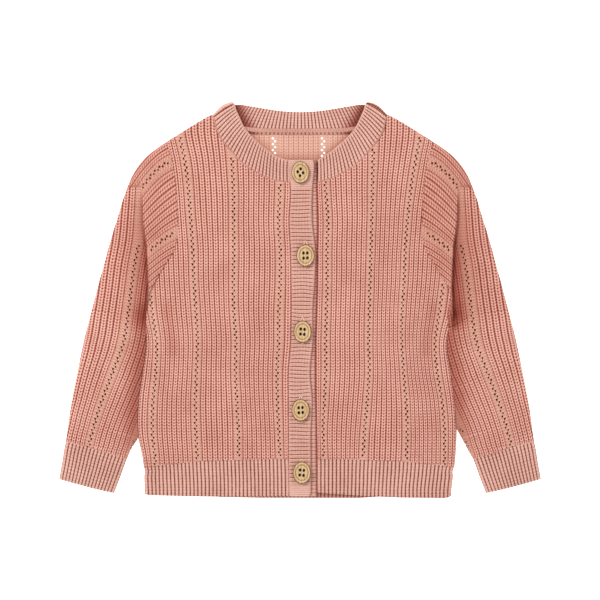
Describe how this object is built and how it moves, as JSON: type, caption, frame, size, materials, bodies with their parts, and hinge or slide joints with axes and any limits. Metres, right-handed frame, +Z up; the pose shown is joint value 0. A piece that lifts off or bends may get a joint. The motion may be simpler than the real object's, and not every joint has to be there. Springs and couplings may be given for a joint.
{
  "type": "baby cardigan",
  "caption": "Baby's long-sleeved ribbed knit cardigan, buttoned up and laid flat on its back, with openwork lines, rib bands and wooden buttons.",
  "frame": {"origin": "on the surface the cardigan lies on, under the middle of its bounding box", "axes": "+X to the viewer's right when the neck is at the top, +Y from the hem to the neck, +Z up from the surface"},
  "size_m": [0.3612, 0.298, 0.0099],
  "materials": {
    "knit": "matt ribbed cotton knit",
    "rib_knit": "matt fine rib knit",
    "wood": "satin light wood"
  },
  "bodies": {
    "root": {"back_panel": "knit", "back_hem": "rib_knit", "right_front": "knit", "right_front_hem": "rib_knit", "right_sleeve": "knit", "right_cuff": "rib_knit", "left_front": "knit", "left_front_hem": "rib_knit", "left_sleeve": "knit", "left_cuff": "rib_knit", "neckband": "rib_knit", "lower_button_band": "rib_knit", "upper_button_band": "rib_knit", "button_1": "wood", "button_2": "wood", "button_3": "wood", "button_4": "wood", "button_5": "wood"}
  },
  "joints": []
}
